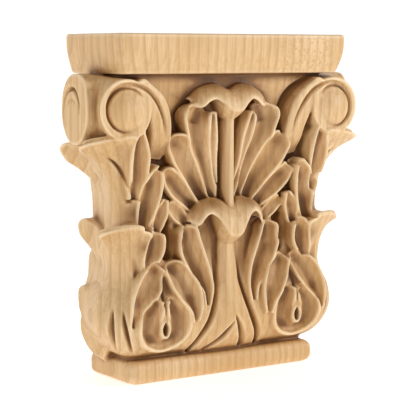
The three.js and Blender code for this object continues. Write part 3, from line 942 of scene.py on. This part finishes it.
def mesh_of(block, name, adaptivity):
    """The carved surface in metres, with the masks for painted shade and painted highlight on its points."""
    points, triangles, quads = block.surface(adaptivity)
    recess = block.fullness(points, RECESS_REACH)
    ridge = block.fullness(points, RIDGE_REACH)
    sawn = points[:, 1] < SAWN_DEPTH
    recess[sawn] = EVEN
    ridge[sawn] = EVEN
    placed = np.empty_like(points)
    placed[:, 0] = points[:, 0] * MM
    placed[:, 1] = BACK_Y - points[:, 1] * MM
    placed[:, 2] = (points[:, 2] + PLINTH_HEIGHT) * MM
    mesh = bpy.data.meshes.new(name)
    faces = [tuple(map(int, f)) for f in triangles] + [tuple(map(int, f)) for f in quads]
    mesh.from_pydata(placed.tolist(), [], faces)
    # Masks on the points: painted shade in broad hollows, painted shade in creases and a painted highlight on
    # thin ridges, painted shade and stain on the listed spots.
    for label, values in (("recess", recess), ("ridge", ridge), ("spot_shade_stain", shade_and_stain_share(points))):
        layer = mesh.attributes.new(label, "FLOAT", "POINT")
        layer.data.foreach_set("value", values.astype(np.float32))
    mesh.update()
    return mesh


def apply_modifiers(piece):
    depsgraph = bpy.context.evaluated_depsgraph_get()
    final = bpy.data.meshes.new_from_object(piece.evaluated_get(depsgraph))
    piece.modifiers.clear()
    old = piece.data
    piece.data = final
    bpy.data.meshes.remove(old)


def shade(mesh):
    """Smooth carving, but flat shading where the block is sawn: its back, its top and its underside."""
    count = len(mesh.polygons)
    centres = np.empty(count * 3)
    mesh.polygons.foreach_get("center", centres)
    centres = centres.reshape(-1, 3)
    top = (PLINTH_HEIGHT + BELL_HEIGHT + ABACUS_HEIGHT) * MM
    near = 0.2 * MM
    sawn = (centres[:, 1] > BACK_Y - near) | (centres[:, 2] > top - near) | (centres[:, 2] < near)
    mesh.polygons.foreach_set("use_smooth", ~sawn)


# Materials

# Growth rings: where the pith lies beside the block, how it leans, and how close the rings are
PITH_OFFSET = (0.17, -0.02, 0.0)
PITH_LEAN = (0.10, -0.07, 0.0)
RING_SCALE = 46.0

# Bird's-eye spots: middle and half width of their patch, the level where it starts and how far it fades
# in below that, in metres
SPOT_MIDDLE = 0.062
SPOT_REACH = 0.030
SPOT_LEVEL = 0.226
SPOT_FADE = 0.008


def new_group(name, inputs, outputs):
    """An empty shader group with its sockets, and its input and output nodes."""
    group = bpy.data.node_groups.new(name, "ShaderNodeTree")
    for label, kind, default in inputs:
        socket = group.interface.new_socket(label, in_out="INPUT", socket_type=kind)
        if default is not None:
            socket.default_value = default
    for label, kind in outputs:
        group.interface.new_socket(label, in_out="OUTPUT", socket_type=kind)
    return group, group.nodes.new("NodeGroupInput"), group.nodes.new("NodeGroupOutput")


def node(tree, kind, **values):
    made = tree.nodes.new(kind)
    for key, value in values.items():
        setattr(made, key, value)
    return made


def feed(tree, value, socket):
    """Link a socket to what another node puts out, or set it to a plain value."""
    if hasattr(value, "links"):
        tree.links.new(value, socket)
    else:
        socket.default_value = value


def maths(tree, operation, a, b=None):
    made = node(tree, "ShaderNodeMath", operation=operation)
    for socket, value in zip(made.inputs, (a, b)):
        if value is not None:
            feed(tree, value, socket)
    return made.outputs[0]


def times(tree, a, b):
    return maths(tree, "MULTIPLY", a, b)


def map_range(tree, value, low, high, to_low=0.0, to_high=1.0):
    made = node(tree, "ShaderNodeMapRange")
    tree.links.new(value, made.inputs["Value"])
    for label, limit in (("From Min", low), ("From Max", high), ("To Min", to_low), ("To Max", to_high)):
        made.inputs[label].default_value = limit
    return made.outputs["Result"]


def blend(tree, share, a, b):
    made = node(tree, "ShaderNodeMix", data_type="RGBA", clamp_factor=True)
    for socket, value in ((made.inputs[0], share), (made.inputs[6], a), (made.inputs[7], b)):
        feed(tree, value, socket)
    return made.outputs[2]


def noise(tree, vector, scale, detail=3.0, rough=0.5):
    made = node(tree, "ShaderNodeTexNoise")
    tree.links.new(vector, made.inputs["Vector"])
    for label, value in (("Scale", scale), ("Detail", detail), ("Roughness", rough)):
        made.inputs[label].default_value = value
    return made.outputs["Fac"]


def stretched(tree, vector, scale):
    made = node(tree, "ShaderNodeMapping")
    tree.links.new(vector, made.inputs["Vector"])
    made.inputs["Scale"].default_value = scale
    return made.outputs["Vector"]


def figure_group():
    """Grain of the wood: rings round a leaning pith, fine lines, pores and a patch of bird's-eye spots."""
    group, given, made = new_group(
        "maple_figure",
        (("Position", "NodeSocketVector", None),),
        [(label, "NodeSocketFloat") for label in ("Rings", "Lines", "Pores", "Spots")],
    )
    where = given.outputs["Position"]
    turned = node(group, "ShaderNodeMapping")
    group.links.new(where, turned.inputs["Vector"])
    turned.inputs["Location"].default_value = PITH_OFFSET
    turned.inputs["Rotation"].default_value = PITH_LEAN
    rings = node(group, "ShaderNodeTexWave", wave_type="RINGS", rings_direction="Z", wave_profile="SAW")
    group.links.new(turned.outputs[0], rings.inputs["Vector"])
    for label, value in (("Scale", RING_SCALE), ("Distortion", 3.5), ("Detail", 2.0), ("Detail Scale", 0.12)):
        rings.inputs[label].default_value = value
    group.links.new(rings.outputs["Fac"], made.inputs["Rings"])
    lines = noise(group, stretched(group, where, (420, 420, 9)), 1.0, 4.0, 0.6)
    group.links.new(lines, made.inputs["Lines"])
    pores = noise(group, stretched(group, where, (950, 950, 60)), 1.0, 3.0, 0.6)
    group.links.new(pores, made.inputs["Pores"])
    cells = node(group, "ShaderNodeTexVoronoi", feature="F1")
    group.links.new(stretched(group, where, (330, 330, 380)), cells.inputs["Vector"])
    cells.inputs["Scale"].default_value = 1.0
    spots = map_range(group, cells.outputs["Distance"], 0.12, 0.42, 1.0, 0.0)
    split = node(group, "ShaderNodeSeparateXYZ")
    group.links.new(where, split.inputs[0])
    patch = maths(group, "ABSOLUTE", maths(group, "SUBTRACT", split.outputs["X"], SPOT_MIDDLE))
    patch = map_range(group, patch, 0.5 * SPOT_REACH, SPOT_REACH, 1.0, 0.0)
    level = map_range(group, split.outputs["Z"], SPOT_LEVEL - SPOT_FADE, SPOT_LEVEL)
    group.links.new(times(group, spots, times(group, patch, level)), made.inputs["Spots"])
    return group


def shade_and_highlight_group():
    """Masks: painted shade in the hollows and creases, painted shade and stain on the listed spots, the
    darkest painted shade in the deepest places, and a painted highlight on thin rims.
    """
    group, given, made = new_group(
        "carving_painted_light",
        (
            ("Position", "NodeSocketVector", None),
            ("Recess", "NodeSocketFloat", 0.5),
            ("Ridge", "NodeSocketFloat", 0.5),
            ("Spot_shade_stain", "NodeSocketFloat", 0.0),
        ),
        [(label, "NodeSocketFloat") for label in ("Shade_and_stain", "Depth", "Rim")],
    )
    # Painted shade in broad hollows and in narrow creases, broken up by random patches.
    broad = map_range(group, given.outputs["Recess"], 0.51, 0.64)
    tight = map_range(group, given.outputs["Ridge"], 0.51, 0.66)
    patchy = noise(group, given.outputs["Position"], 60.0, 4.0, 0.6)
    patchy = map_range(group, patchy, 0.3, 0.7, 0.88, 1.08)
    both = maths(group, "ADD", times(group, broad, 0.9), times(group, tight, 0.5))
    # Painted shade and stain on the listed spots.
    both = maths(group, "ADD", both, times(group, given.outputs["Spot_shade_stain"], 0.95))
    both = times(group, both, patchy)
    # The main painted shade, with the stain on the listed spots.
    group.links.new(map_range(group, both, 0.0, 1.0), made.inputs["Shade_and_stain"])
    # The darkest painted shade, in the deepest hollows and on the listed spots.
    group.links.new(map_range(group, both, 0.75, 1.5), made.inputs["Depth"])
    # A painted highlight on thin ridges and rims.
    group.links.new(map_range(group, given.outputs["Ridge"], 0.47, 0.33), made.inputs["Rim"])
    return group


def maple_material(finish):
    material = bpy.data.materials.new("carved_maple")
    material.use_nodes = True
    tree = material.node_tree
    tree.nodes.clear()
    out = node(tree, "ShaderNodeOutputMaterial")
    shader = node(tree, "ShaderNodeBsdfPrincipled")
    tree.links.new(shader.outputs[0], out.inputs[0])
    where = node(tree, "ShaderNodeTexCoord").outputs["Object"]
    figure = node(tree, "ShaderNodeGroup", node_tree=figure_group())
    tree.links.new(where, figure.inputs["Position"])
    painted_light = node(tree, "ShaderNodeGroup", node_tree=shade_and_highlight_group())
    tree.links.new(where, painted_light.inputs["Position"])
    for label in ("recess", "ridge", "spot_shade_stain"):
        layer = node(tree, "ShaderNodeAttribute", attribute_name=label)
        tree.links.new(layer.outputs["Fac"], painted_light.inputs[label.capitalize()])
    clouds = noise(tree, stretched(tree, where, (16, 16, 7)), 1.0, 2.0, 0.5)
    colour = blend(tree, map_range(tree, clouds, 0.35, 0.65), tuple(finish.pale), tuple(finish.warm))
    layers = (
        (map_range(tree, figure.outputs["Rings"], 0.55, 1.0, 0.0, 0.60), finish.grain),
        (map_range(tree, figure.outputs["Lines"], 0.40, 0.70, 0.0, 0.50), finish.grain),
        (map_range(tree, figure.outputs["Pores"], 0.50, 0.72, 0.0, 0.35), finish.grain),
        (times(tree, figure.outputs["Spots"], 0.8), finish.grain),
        # painted shade in hollows and creases, and painted shade and stain on the listed spots
        (times(tree, painted_light.outputs["Shade_and_stain"], 0.95), finish.shade_and_stain),
        # the darkest painted shade, in the deepest hollows and cuts
        (times(tree, painted_light.outputs["Depth"], 0.85), finish.recess),
        # painted highlight on thin ridges and rims
        (times(tree, painted_light.outputs["Rim"], 0.75), finish.rim),
    )
    for share, tone in layers:
        colour = blend(tree, share, colour, tuple(tone))
    tree.links.new(colour, shader.inputs["Base Color"])
    tree.links.new(map_range(tree, figure.outputs["Lines"], 0.3, 0.7, 0.42, 0.58), shader.inputs["Roughness"])
    bump = node(tree, "ShaderNodeBump")
    bump.inputs["Strength"].default_value = 0.5
    bump.inputs["Distance"].default_value = 0.0005
    strokes = noise(tree, where, 300.0, 2.0, 0.5)
    grain = maths(tree, "ADD", figure.outputs["Lines"], figure.outputs["Pores"])
    grain = maths(tree, "ADD", grain, strokes)
    tree.links.new(grain, bump.inputs["Height"])
    tree.links.new(bump.outputs[0], shader.inputs["Normal"])
    return material


# How much the stage's paper glows, which keeps the background white
PAPER_GLOW = 0.50


def studio_material():
    material = bpy.data.materials.new("studio_paper")
    material.use_nodes = True
    tree = material.node_tree
    shader = tree.nodes["Principled BSDF"]
    where = node(tree, "ShaderNodeTexCoord").outputs["Object"]
    cloudy = noise(tree, where, 3.0)
    tree.links.new(
        blend(tree, cloudy, (0.93, 0.93, 0.93, 1), (0.95, 0.95, 0.95, 1)), shader.inputs["Base Color"]
    )
    shader.inputs["Roughness"].default_value = 0.9
    shader.inputs["Emission Color"].default_value = (1, 1, 1, 1)
    shader.inputs["Emission Strength"].default_value = PAPER_GLOW
    return material


# Settings shown in the sidebar

class CarvingSettings(bpy.types.PropertyGroup):
    voxel: bpy.props.FloatProperty(
        name="Finest cut",
        description="Spacing of the carving's grid, in millimetres",
        default=0.65,
        min=0.4,
        max=4.0,
    )
    adaptivity: bpy.props.FloatProperty(
        name="Flat thinning",
        description="How far flat areas are left with larger faces",
        default=0.08,
        min=0,
        max=1,
    )
    most_triangles: bpy.props.IntProperty(
        name="Most triangles", description="The mesh is thinned to this many triangles", default=190000
    )


def colour_property(name, description, default):
    return bpy.props.FloatVectorProperty(
        name=name, description=description, default=default, size=4, min=0, max=1, subtype="COLOR"
    )


class MapleSettings(bpy.types.PropertyGroup):
    pale: colour_property("Pale wood", "Lightest tone of the maple", (0.79, 0.55, 0.295, 1))
    warm: colour_property("Warm wood", "Tone of the warmer patches", (0.68, 0.425, 0.18, 1))
    grain: colour_property("Grain lines", "Tone of the rings, lines, pores and spots", (0.52, 0.28, 0.10, 1))
    # Tone of the painted shade in hollows and creases, and of the stain on the listed spots
    shade_and_stain: colour_property("Shade_and_stain", "Tone of the stain in the hollows", (0.35, 0.165, 0.045, 1))
    # Tone of the darkest painted shade, in deep cuts
    recess: colour_property("Recesses", "Tone of the deep cuts", (0.11, 0.038, 0.009, 1))
    # Tone of the painted highlight on thin ridges
    rim: colour_property("Rims", "Tone of the thin sharp edges", (0.93, 0.71, 0.44, 1))


class StudioSettings(bpy.types.PropertyGroup):
    key_power: bpy.props.FloatProperty(
        name="Key light", description="Power of the light at the front right", default=16.0, unit="POWER"
    )
    side_power: bpy.props.FloatProperty(
        name="Side light", description="Power of the weaker light at the left", default=6.0, unit="POWER"
    )
    fill: bpy.props.FloatProperty(
        name="Room light", description="Strength of the soft white light all round", default=0.42, min=0
    )


# Operators

class CAPITAL_OT_carve(bpy.types.Operator):
    """Carve the whole capital from one block and give it its maple finish"""

    bl_idname = "capital.carve"
    bl_label = "Carve the capital"

    def execute(self, context):
        settings = context.scene.capital_carving
        voxel = settings.voxel * 1.0
        block = carve(voxel)
        piece = bpy.data.objects.new("carved_capital", mesh_of(block, "carved_capital", settings.adaptivity))
        context.scene.collection.objects.link(piece)
        triangles = sum(len(face.vertices) - 2 for face in piece.data.polygons)
        if triangles > settings.most_triangles:
            thin = piece.modifiers.new("thin", "DECIMATE")
            thin.ratio = settings.most_triangles / triangles
        apply_modifiers(piece)
        shade(piece.data)
        piece.data.materials.clear()
        piece.data.materials.append(maple_material(context.scene.capital_maple))
        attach(piece, "root")
        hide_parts("capital")
        return {"FINISHED"}


class CAPITAL_OT_stage(bpy.types.Operator):
    """Set up the pale floor, the soft lights and the camera"""

    bl_idname = "capital.stage"
    bl_label = "Set the stage"

    def execute(self, context):
        scene = context.scene
        studio = scene.capital_studio
        make_floor(scene)
        make_lights(scene, studio)
        make_camera(scene)
        scene.view_settings.view_transform = "Standard"
        return {"FINISHED"}


def make_floor(scene):
    """A sheet that lies flat under the piece and bends up behind it."""
    width, front, bend, height = 6.0, -3.0, 1.2, 4.0
    radius = 0.8
    profile = [(front, 0.0), (bend, 0.0)]
    for k in range(1, 13):
        turn = k / 12 * math.pi / 2
        profile.append((bend + radius * math.sin(turn), radius * (1 - math.cos(turn))))
    profile.append((bend + radius, height))
    points = [(x, y, z) for y, z in profile for x in (-width, width)]
    faces = [(2 * k, 2 * k + 1, 2 * k + 3, 2 * k + 2) for k in range(len(profile) - 1)]
    mesh = bpy.data.meshes.new("studio_sweep")
    mesh.from_pydata(points, [], faces)
    mesh.polygons.foreach_set("use_smooth", [True] * len(mesh.polygons))
    mesh.materials.append(studio_material())
    sweep = bpy.data.objects.new("studio_sweep", mesh)
    scene.collection.objects.link(sweep)


# Where the lights stand and what they point at, in metres, and how wide they are
LIGHT_AIM = (0, 0, 0.13)
KEY_PLACE = (1.30, -1.15, 0.70)
KEY_SIZE = 0.40
SIDE_PLACE = (-1.6, -0.6, 0.6)
SIDE_SIZE = 0.9

# Tone of the air round the stage, at the horizon and straight above
AIR_LOW = (1, 1, 1, 1)
AIR_HIGH = (0.55, 0.55, 0.55, 1)


def area_light(scene, name, place, size, power):
    data = bpy.data.lights.new(name, "AREA")
    data.shape = "DISK"
    data.size = size
    data.energy = power
    lamp = bpy.data.objects.new(name, data)
    lamp.location = place
    lamp.rotation_euler = (Vector(place) - Vector(LIGHT_AIM)).to_track_quat("Z", "Y").to_euler()
    scene.collection.objects.link(lamp)


def make_lights(scene, studio):
    world = bpy.data.worlds.new("studio_air")
    scene.world = world
    world.use_nodes = True
    tree = world.node_tree
    background = tree.nodes["Background"]
    height = node(tree, "ShaderNodeSeparateXYZ")
    tree.links.new(node(tree, "ShaderNodeTexCoord").outputs["Generated"], height.inputs[0])
    share = map_range(tree, height.outputs["Z"], 0.0, 1.0)
    tree.links.new(blend(tree, share, AIR_LOW, AIR_HIGH), background.inputs["Color"])
    background.inputs["Strength"].default_value = studio.fill
    area_light(scene, "key_light", KEY_PLACE, KEY_SIZE, studio.key_power)
    area_light(scene, "side_light", SIDE_PLACE, SIDE_SIZE, studio.side_power)


def make_camera(scene):
    turn, tilt = math.radians(VIEW_AZIMUTH), math.radians(VIEW_ELEVATION)
    back = Vector((math.sin(turn) * math.cos(tilt), -math.cos(turn) * math.cos(tilt), math.sin(tilt)))
    target = Vector((VIEW_TARGET[0] * MM, BACK_Y, VIEW_TARGET[2] * MM))
    data = bpy.data.cameras.new("photo_view")
    data.sensor_width = SENSOR_MM
    data.lens = PHOTO_FOCAL * SENSOR_MM / PHOTO_SIZE
    data.clip_start = 0.05
    data.clip_end = 30.0
    camera = bpy.data.objects.new("photo_view", data)
    camera.location = target + back * VIEW_DISTANCE * MM
    camera.rotation_euler = back.to_track_quat("Z", "Y").to_euler()
    scene.collection.objects.link(camera)
    scene.camera = camera


class CAPITAL_PT_tools(bpy.types.Panel):
    """Lists the steps that make the capital and its stage"""

    bl_label = "Acanthus capital"
    bl_idname = "CAPITAL_PT_tools"
    bl_space_type = "VIEW_3D"
    bl_region_type = "UI"
    bl_category = "Capital"

    def draw(self, context):
        scene = context.scene
        for settings in (scene.capital_carving, scene.capital_maple, scene.capital_studio):
            for name in settings.__annotations__:
                self.layout.prop(settings, name)
        self.layout.operator("capital.carve")
        self.layout.operator("capital.stage")


CLASSES = (
    CarvingSettings,
    MapleSettings,
    StudioSettings,
    CAPITAL_OT_carve,
    CAPITAL_OT_stage,
    CAPITAL_PT_tools,
)


def register():
    for cls in CLASSES:
        bpy.utils.register_class(cls)
    bpy.types.Scene.capital_carving = bpy.props.PointerProperty(type=CarvingSettings)
    bpy.types.Scene.capital_maple = bpy.props.PointerProperty(type=MapleSettings)
    bpy.types.Scene.capital_studio = bpy.props.PointerProperty(type=StudioSettings)


def unregister():
    del bpy.types.Scene.capital_studio
    del bpy.types.Scene.capital_maple
    del bpy.types.Scene.capital_carving
    for cls in reversed(CLASSES):
        bpy.utils.unregister_class(cls)


def main():
    register()
    bpy.ops.capital.carve()
    bpy.ops.capital.stage()


if __name__ == "__main__":
    main()
